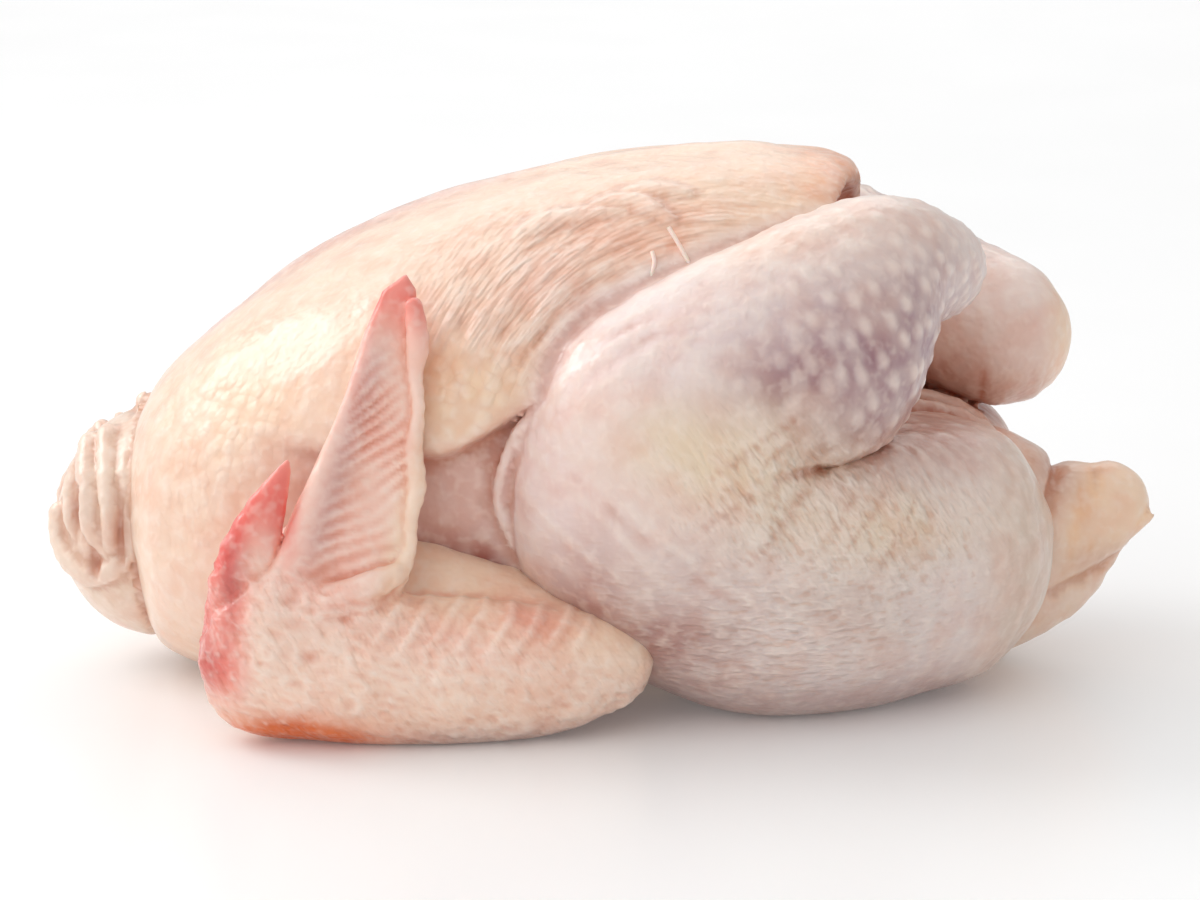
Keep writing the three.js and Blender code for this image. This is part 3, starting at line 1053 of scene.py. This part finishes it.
def skin_material(name, settings):
    """Moist raw skin: painted colour, pale feather roots, fine wrinkles with painted shade in their valleys
    and painted highlight on their tops, and flesh glowing through.
    """
    material = bpy.data.materials.new(name)
    material.use_nodes = True
    tree = Tree(material.node_tree)
    place = tree.make("ShaderNodeTexCoord", {}, out="object")

    def painted(attribute, out="fac"):
        return tree.make("ShaderNodeAttribute", {"attribute_name": attribute}, out=out)

    roots = pimple_pattern(tree, painted("lie", "vector"), settings.pimple_spacing) * painted("pimples")
    masks = [painted(mask) for mask in ("gathered", "steep", "level")]
    folds = wrinkles(tree, place, settings.wrinkle_spacing, *masks)
    mottle = tree.noise(place, 360.0, 1.0)
    blotches = tree.noise(place, 95.0, 1.0)
    fatty = painted("cobbles")
    cell = tree.voronoi(place, 1.0 / settings.cobble)
    cobbles = cell.ramp(0.75, 0.15) * fatty
    colour = painted("paint", "color")
    colour = tree.mix(blotches.ramp(0.4, 0.7) * 0.25, colour, (*settings.raw_pink, 1), "MULTIPLY")
    colour = tree.mix(mottle.ramp(0.45, 0.75) * 0.22, colour, (*settings.ridge, 1))
    # Painted shade in the valleys of the fine wrinkles and between the cobbles of fatty skin.
    colour = tree.mix(folds.ramp(-0.03, -0.2) * 0.34, colour, (*settings.wrinkle_line, 1), "MULTIPLY")
    colour = tree.mix(cell.ramp(0.3, 0.8) * fatty * 0.35, colour, (*settings.wrinkle_line, 1), "MULTIPLY")
    # Painted highlight on the tops of the fine wrinkles.
    colour = tree.mix(folds.ramp(0.03, 0.2) * 0.3, colour, (*settings.ridge, 1))
    colour = tree.mix(roots * 0.5, colour, (*settings.ridge, 1))
    height = mottle * 0.45 + cobbles * 0.5 + folds * 1.8
    bump = tree.make("ShaderNodeBump", {}, strength=settings.bump, distance=FOLD_HEIGHT, height=height)
    skin = tree.make(
        "ShaderNodeBsdfPrincipled",
        {"subsurface_method": "BURLEY"},
        base_color=colour,
        roughness=blotches.ramp(0.3, 0.7, 0.42, 0.3),
        ior=1.42,
        normal=bump,
        subsurface_weight=settings.glow,
        subsurface_radius=(1.0, 0.42, 0.25),
        subsurface_scale=settings.glow_depth,
        coat_weight=settings.wet_film,
        coat_roughness=0.2,
    )
    tree.make("ShaderNodeOutputMaterial", {}, skin)
    return material


def plain_skin(name, settings):
    """Pale wet skin without folds, for small strings of it."""
    material = bpy.data.materials.new(name)
    material.use_nodes = True
    tree = Tree(material.node_tree)
    place = tree.make("ShaderNodeTexCoord", {}, out="object")
    streaks = tree.noise(place, 700.0, 2.0)
    colour = tree.mix(streaks, (*settings.ridge, 1), (*settings.hock, 1))
    skin = tree.make(
        "ShaderNodeBsdfPrincipled",
        {},
        base_color=colour,
        roughness=streaks.ramp(0.2, 0.8, 0.3, 0.45),
        subsurface_weight=settings.glow,
        subsurface_scale=0.001,
    )
    tree.make("ShaderNodeOutputMaterial", {}, skin)
    return material


def table_material(name, colour, lift):
    """A plain white table top, lifted a little so that it reads as white all over."""
    material = bpy.data.materials.new(name)
    material.use_nodes = True
    tree = Tree(material.node_tree)
    place = tree.make("ShaderNodeTexCoord", {}, out="object")
    streaks = tree.noise(place, 9.0, 2.0)
    surface = tree.make(
        "ShaderNodeBsdfPrincipled",
        {},
        base_color=(*colour, 1),
        roughness=streaks.ramp(0.2, 0.8, 0.28, 0.32),
        emission_color=(1, 1, 1, 1),
        emission_strength=lift,
    )
    tree.make("ShaderNodeOutputMaterial", {}, surface)
    return material


# ---------------------------------------------------------------------------------------------
# Blender meshes
# ---------------------------------------------------------------------------------------------
def mesh_piece(name, points, faces, paint, masks, lie):
    """A mesh object in the frame's metres, with its paint and masks kept on the points."""
    mesh = bpy.data.meshes.new(name)
    mesh.vertices.add(len(points))
    mesh.vertices.foreach_set("co", (points * MM).astype(np.float32).ravel())
    mesh.loops.add(faces.size)
    mesh.loops.foreach_set("vertex_index", faces.astype(np.int32).ravel())
    mesh.polygons.add(len(faces))
    mesh.polygons.foreach_set("loop_start", np.arange(0, faces.size, 4, dtype=np.int32))
    mesh.update(calc_edges=True)
    mesh.shade_smooth()
    rgba = np.ones((len(points), 4), np.float32)
    rgba[:, :3] = np.clip(paint, 0, 1)
    mesh.color_attributes.new("paint", "FLOAT_COLOR", "POINT").data.foreach_set("color", rgba.ravel())
    for mask, values in masks.items():
        mesh.attributes.new(mask, "FLOAT", "POINT").data.foreach_set("value", values.astype(np.float32))
    along = (lie * MM).astype(np.float32).ravel()
    mesh.attributes.new("lie", "FLOAT_VECTOR", "POINT").data.foreach_set("vector", along)
    piece = bpy.data.objects.new(name, mesh)
    bpy.context.scene.collection.objects.link(piece)
    return piece


def hand_over(piece):
    """Gives a finished piece to the frame: it rides on the bird and stands for its solid."""
    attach(piece, BODY)
    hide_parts(NODE)


def wrinkled_skin(form, reach, cell, relief):
    """Points and faces of a form's skin, and how deep each point lies in the folds and the wrinkles."""
    points, normals, faces = skin_over(form, *reach, cell)
    points = points + normals * relief(points)[:, None]
    points[:, 2] = np.maximum(points[:, 2], 0.0)
    depth, crinkle = (hollows(points, normals, faces, rounds) for rounds in (WIDE_FOLDS, FINE_FOLDS))
    return points, faces, depth, crinkle


def relief_sizes(settings, part):
    """The relief's inputs, with only this part of its heights."""
    return {
        "Pimple spacing": settings.pimple_spacing,
        "Pimple height": settings.pimple_height * part,
        "Wrinkle spacing": 2.0 * settings.wrinkle_spacing,  # the mesh holds only the larger ones
        "Wrinkle depth": settings.wrinkle_depth * part,
    }


SKIN_SHADE = 0.93  # the body's skin returns a little less light than its paint
BODY_REACH = ((-147, -97, -5), (147, 97, 141))
WING_REACH = ((-104, 30, -5), (18, 110, 121))


def make_body(settings):
    """The carcass: body, legs, tail and neck flap."""
    coarse = 1.0
    cell = settings.body_cell * coarse
    points, faces, depth, crinkle = wrinkled_skin(body_form, BODY_REACH, cell, body_relief)
    on_leg = ramp(-leg_distance(points), -6.0, 0.0)
    paint = SKIN_SHADE * paint_body(points, on_leg, depth, crinkle, settings)
    piece = mesh_piece("carcass", points, faces, paint, body_masks(points, on_leg), leg_lie(points))
    finish = skin_material("raw_skin", settings)
    relieved(piece, relief_tree(), relief_sizes(settings, 1.0), finish)
    hand_over(piece)


def make_wings(settings):
    """Both wings, from one form and its mirror image."""
    coarse = 1.0
    cell = settings.wing_cell * coarse
    finish = skin_material("wing_skin", settings)
    group = relief_tree()
    points, faces, depth, crinkle = wrinkled_skin(wing_form, WING_REACH, cell, wing_relief)
    paint = paint_wing(points, depth, crinkle, settings)
    none = np.zeros(len(points), np.float32)
    arm = 1.0 - on_blade(points)
    masks = {
        "pimples": none,
        "gathered": none,
        "steep": 0.5 * arm,
        "level": 0.35 * arm,
        "cobbles": none + 0.1,
    }
    for name, side in (("right_wing", RIGHT), ("left_wing", LEFT)):
        turned = points * np.array([1, side, 1], np.float32)
        ordered = faces if side == LEFT else faces[:, ::-1]
        piece = mesh_piece(name, turned, ordered, paint, masks, turned)
        relieved(piece, group, relief_sizes(settings, 0.5), finish)
        hand_over(piece)


# Thin strings of skin stretched from the breast to the leg, as x, y, z in millimetres.
THREADS = [
    [[12.5, -55, 113.5], [13.0, -57, 111], [12.0, -59, 107.5]],
    [[16.5, -52, 119], [19.0, -54, 115], [21.5, -56, 110.5]],
]


def thread_tree():
    """Turns curves into thin round strings."""
    group = bpy.data.node_groups.new("Skin threads", "GeometryNodeTree")
    face = group.interface
    face.new_socket("Curves", in_out="INPUT", socket_type="NodeSocketGeometry")
    face.new_socket("Thickness", in_out="INPUT", socket_type="NodeSocketFloat")
    face.new_socket("Finish", in_out="INPUT", socket_type="NodeSocketMaterial")
    face.new_socket("Threads", in_out="OUTPUT", socket_type="NodeSocketGeometry")
    tree = Tree(group)
    inputs = group.nodes.new("NodeGroupInput")
    curves, thickness, finish = (Value(tree, inputs.outputs[i]) for i in range(3))
    ring = tree.make("GeometryNodeCurvePrimitiveCircle", {}, resolution=10, radius=thickness * 0.5)
    strings = tree.make("GeometryNodeCurveToMesh", {}, curve=curves, profile_curve=ring, fill_caps=True)
    plain = tree.make("GeometryNodeRealizeInstances", {}, strings)
    tree.make("NodeGroupOutput", {}, tree.make("GeometryNodeSetMaterial", {}, plain, material=finish))
    return group


def make_threads(settings):
    """Strings of skin swept along smooth curves."""
    curve = bpy.data.curves.new("threads_path", "CURVE")
    curve.dimensions = "3D"
    for thread in THREADS:
        line = curve.splines.new("POLY")
        rows = smooth_rows(thread, 9) * MM
        line.points.add(len(rows) - 1)
        for point, row in zip(line.points, rows):
            point.co = (*row, 1.0)
    path = bpy.data.objects.new("threads_path", curve)
    bpy.context.scene.collection.objects.link(path)
    sizes = {"Thickness": settings.thread, "Finish": plain_skin("thread_skin", settings)}
    mesh = built_mesh(path, thread_tree(), sizes)
    bpy.data.objects.remove(path)
    piece = bpy.data.objects.new("skin_threads", mesh)
    mesh.name = piece.name
    bpy.context.scene.collection.objects.link(piece)
    hand_over(piece)


# ---------------------------------------------------------------------------------------------
# Stage: floor, lights and camera
# ---------------------------------------------------------------------------------------------
KEY_SIDE = (-0.8, -0.05, 0.62)  # the room is brightest in this direction
SENSOR_WIDTH = 36.0  # millimetres

# The soft round lights, as place and width in metres.
SOFTBOX = (-1.0, 0.4, 0.85), 0.7
FRONT_FILL = (-0.5, -1.4, 0.9), 0.9
BACKGROUND = (0.0, 2.4, 1.7), 2.6


def aim(item, target):
    """Turns a light or camera towards a place."""
    item.rotation_euler = (Vector(target) - item.location).to_track_quat("-Z", "Y").to_euler()


def add_light(name, place, size, target, power):
    """A soft round light that faces a place."""
    light = bpy.data.lights.new(name, "AREA")
    light.shape, light.size, light.energy = "DISK", size, power
    item = bpy.data.objects.new(name, light)
    item.location = place
    bpy.context.scene.collection.objects.link(item)
    aim(item, target)


def make_stage(settings):
    """The floor, the white room, three soft lights and the camera."""
    scene = bpy.context.scene
    reach = settings.floor_reach
    floor_mesh = bpy.data.meshes.new("floor")
    corners = [(-reach, -reach, 0), (reach, -reach, 0), (reach, reach, 0), (-reach, reach, 0)]
    floor_mesh.from_pydata(corners, [], [(0, 1, 2, 3)])
    floor = bpy.data.objects.new("floor", floor_mesh)
    white = table_material("white_table", settings.floor_colour, settings.floor_lift)
    floor_mesh.materials.append(white)
    scene.collection.objects.link(floor)
    world = bpy.data.worlds.new("white_room")
    world.use_nodes = True
    sky = Tree(world.node_tree)
    toward = sky.make("ShaderNodeTexCoord", {}, out="generated")
    height = sky.vector_number("DOT_PRODUCT", toward, tuple(Vector(KEY_SIDE).normalized()))
    strength = height.ramp(0.1, 0.95, settings.room_light, settings.room_light + settings.side_light)
    light = sky.make("ShaderNodeBackground", {}, color=(1, 1, 1, 1), strength=strength)
    sky.make("ShaderNodeOutputWorld", {}, light)
    scene.world = world
    middle = (0, 0, 0.5 * (LOW.z + HIGH.z))
    below = (BACKGROUND[0][0], BACKGROUND[0][1], 0.0)
    add_light("softbox", *SOFTBOX, middle, settings.key_light)
    add_light("front_fill", *FRONT_FILL, middle, settings.fill_light)
    add_light("background", *BACKGROUND, below, settings.back_light)
    scene.view_settings.view_transform = "Standard"
    camera = bpy.data.cameras.new("camera")
    camera.lens, camera.sensor_width = settings.lens, SENSOR_WIDTH
    viewer = bpy.data.objects.new("camera", camera)
    scene.collection.objects.link(viewer)
    target = Vector((0, 0, settings.aim_height))
    tilt = settings.camera_tilt
    viewer.location = target + settings.camera_distance * Vector((0, -math.cos(tilt), math.sin(tilt)))
    aim(viewer, target)
    scene.camera = viewer


# ---------------------------------------------------------------------------------------------
# The add-on: settings, operators and panel
# ---------------------------------------------------------------------------------------------
def length(name, default, description):
    return FloatProperty(name=name, default=default, description=description, unit="LENGTH", precision=5)


def share(name, default, description):
    named = {"name": name, "default": default, "description": description}
    return FloatProperty(subtype="FACTOR", min=0, max=1, **named)


def tint(name, red, green, blue, description):
    value = linear(red, green, blue)
    named = {"name": name, "default": value, "description": description}
    return FloatVectorProperty(size=3, subtype="COLOR", min=0, max=1, **named)


def amount(name, default, description, unit="NONE"):
    return FloatProperty(name=name, default=default, description=description, unit=unit)


class ChickenSkin(PropertyGroup):
    """Sizes, finish and colours of the bird"""

    body_cell: amount("Body cell", 1.45, "Width of the body mesh's cells, in millimetres")
    wing_cell: amount("Wing cell", 0.8, "Width of the wing mesh's cells, in millimetres")
    pimple_spacing: length("Pimple spacing", 0.006, "From one feather root to the next")
    pimple_height: length("Pimple height", 0.0005, "How far a feather root stands up")
    wrinkle_spacing: length("Wrinkle spacing", 0.0023, "From one fine wrinkle to the next")
    wrinkle_depth: length("Wrinkle depth", 0.0011, "How far the wrinkles rise and fall")
    cobble: length("Cobble", 0.0036, "Width of the small raised cells of fatty skin")
    thread: length("Thread", 0.0011, "Thickness of the strings of skin")
    bump: share("Bump", 0.8, "Strength of the finest texture")
    glow: share("Glow", 0.3, "How much light passes through the skin")
    glow_depth: length("Glow depth", 0.004, "How deep light passes into the flesh")
    wet_film: share("Wet film", 0.35, "How much moisture lies on the skin")
    cream: tint("Cream", 249, 217, 193, "Plain breast skin")
    fat: tint("Fat", 252, 216, 178, "Yellow fat under the skin")
    rear_tip: tint("Rear tip", 238, 150, 92, "Rear tip of the breast")
    raw_pink: tint("Raw pink", 240, 190, 170, "Flesh showing through thin skin")
    grey_pink: tint("Grey pink", 222, 188, 182, "Far side of the breastbone")
    # Painted shade on the thin skin of the flank, under the breast's edge and behind the wing.
    flank: tint("Flank", 228, 186, 176, "Thin skin behind the wing")
    # Dark red flesh with painted shade, in the deepest folds.
    blood: tint("Blood", 150, 62, 52, "Dark flesh in the deepest folds")
    warm: tint("Warm", 236, 178, 150, "Warm flush on the breast")
    leg: tint("Leg", 243, 226, 221, "Leg skin")
    leg_pink: tint("Leg pink", 250, 222, 216, "Pink skin over the knee")
    purple: tint("Purple", 160, 119, 129, "Dark muscle under the drumstick skin")
    crease_yellow: tint("Crease yellow", 246, 222, 188, "Yellowish wrinkled skin")
    thigh: tint("Thigh", 220, 200, 190, "Thigh skin")
    # Painted shade low on the legs and the forearm, by the table.
    shade_by_table: tint("Low thigh", 190, 160, 156, "Thigh skin by the table")
    rump: tint("Rump", 220, 192, 168, "Rump skin")
    hock: tint("Hock", 248, 216, 202, "Skin over the hock")
    tail: tint("Tail", 255, 214, 176, "Fatty tail")
    keel: tint("Keel", 216, 176, 166, "Thin skin along the breastbone")
    # Pale skin: its own paler tone in the mottle, the feather roots and the skin threads, and also a painted
    # highlight on the tops of wrinkles.
    leg_shade: tint("Leg shade", 186, 146, 138, "Foot of the leg behind the wing")
    ridge: tint("Ridge", 252, 236, 224, "Pale tops of wrinkles")
    # Painted shade in hollows: under the breast's rear end, behind the knees and in the neck's pinches.
    recess: tint("Recess", 176, 92, 58, "Inside of the breast's rear end")
    neck: tint("Neck", 230, 204, 182, "Neck skin")
    fold: tint("Fold", 190, 118, 88, "Warm shade in the folds")
    wing: tint("Wing", 247, 214, 195, "Wing skin")
    wing_pink: tint("Wing pink", 247, 190, 174, "Flushed wing skin")
    red: tint("Red", 236, 108, 96, "Wing tip and edge")
    deep_red: tint("Deep red", 176, 60, 62, "Bruised edge of the wrist")
    orange: tint("Orange", 226, 120, 66, "Thin skin under the wrist")
    wing_fold: tint("Wing fold", 216, 128, 96, "Warm shade in the wing's folds")
    # Painted shade in the valleys of the wrinkles and between the cobbles.
    wrinkle_line: tint("Wrinkle line", 228, 186, 156, "Valleys of the fine wrinkles")


class ChickenStage(PropertyGroup):
    """Floor, lights and camera"""

    floor_reach: length("Floor reach", 12.0, "From the middle of the floor to its edge")
    floor_colour: tint("Floor", 242, 242, 242, "Plain pale floor")
    floor_lift: amount("Floor lift", 0.07, "Light given off by the table")
    room_light: amount("Room light", 0.63, "Brightness of the white room")
    side_light: amount("Side light", 0.5, "Added to the room's brightness from the left and above")
    key_light: amount("Softbox", 6.0, "Power of the softbox", "POWER")
    fill_light: amount("Front fill", 1.5, "Power of the front fill", "POWER")
    back_light: amount("Background", 16.0, "Power over the far floor", "POWER")
    lens: amount("Lens", 117.0, "Focal length in millimetres")
    camera_distance: length("Camera distance", 1.0, "From the camera to the bird")
    camera_tilt: FloatProperty(
        name="Camera tilt",
        default=math.radians(11),
        subtype="ANGLE",
        description="How far the camera looks down",
    )
    aim_height: length("Aim height", 0.0544, "Height that the camera looks at")


class CHICKEN_OT_body(Operator):
    """Makes the body, legs, tail and neck skin as one piece"""

    bl_idname = "chicken.body"
    bl_label = "Body"

    def execute(self, context):
        make_body(context.scene.chicken_skin)
        return {"FINISHED"}


class CHICKEN_OT_wings(Operator):
    """Makes the two bent wings"""

    bl_idname = "chicken.wings"
    bl_label = "Wings"

    def execute(self, context):
        make_wings(context.scene.chicken_skin)
        return {"FINISHED"}


class CHICKEN_OT_threads(Operator):
    """Makes the thin strings of skin between the breast and the right leg"""

    bl_idname = "chicken.threads"
    bl_label = "Skin threads"

    def execute(self, context):
        make_threads(context.scene.chicken_skin)
        return {"FINISHED"}


class CHICKEN_OT_stage(Operator):
    """Lays the floor and sets the lights and the camera"""

    bl_idname = "chicken.stage"
    bl_label = "Stage"

    def execute(self, context):
        make_stage(context.scene.chicken_stage)
        return {"FINISHED"}


class CHICKEN_PT_panel(Panel):
    """Lists the pieces of the chicken"""

    bl_idname = "CHICKEN_PT_panel"
    bl_label = "Raw chicken"
    bl_space_type = "VIEW_3D"
    bl_region_type = "UI"
    bl_category = "Chicken"

    def draw(self, context):
        for operator in OPERATORS:
            self.layout.operator(operator.bl_idname)
        for group in (context.scene.chicken_skin, context.scene.chicken_stage):
            box = self.layout.box()
            for name in group.__annotations__:
                box.prop(group, name)


OPERATORS = (CHICKEN_OT_stage, CHICKEN_OT_body, CHICKEN_OT_wings, CHICKEN_OT_threads)
CLASSES = (ChickenSkin, ChickenStage, *OPERATORS, CHICKEN_PT_panel)


def register():
    for cls in CLASSES:
        bpy.utils.register_class(cls)
    bpy.types.Scene.chicken_skin = PointerProperty(type=ChickenSkin)
    bpy.types.Scene.chicken_stage = PointerProperty(type=ChickenStage)


def unregister():
    del bpy.types.Scene.chicken_stage
    del bpy.types.Scene.chicken_skin
    for cls in reversed(CLASSES):
        bpy.utils.unregister_class(cls)


def main():
    register()
    for operator in OPERATORS:
        space, name = operator.bl_idname.split(".")
        getattr(getattr(bpy.ops, space), name)()


if __name__ == "__main__":
    main()
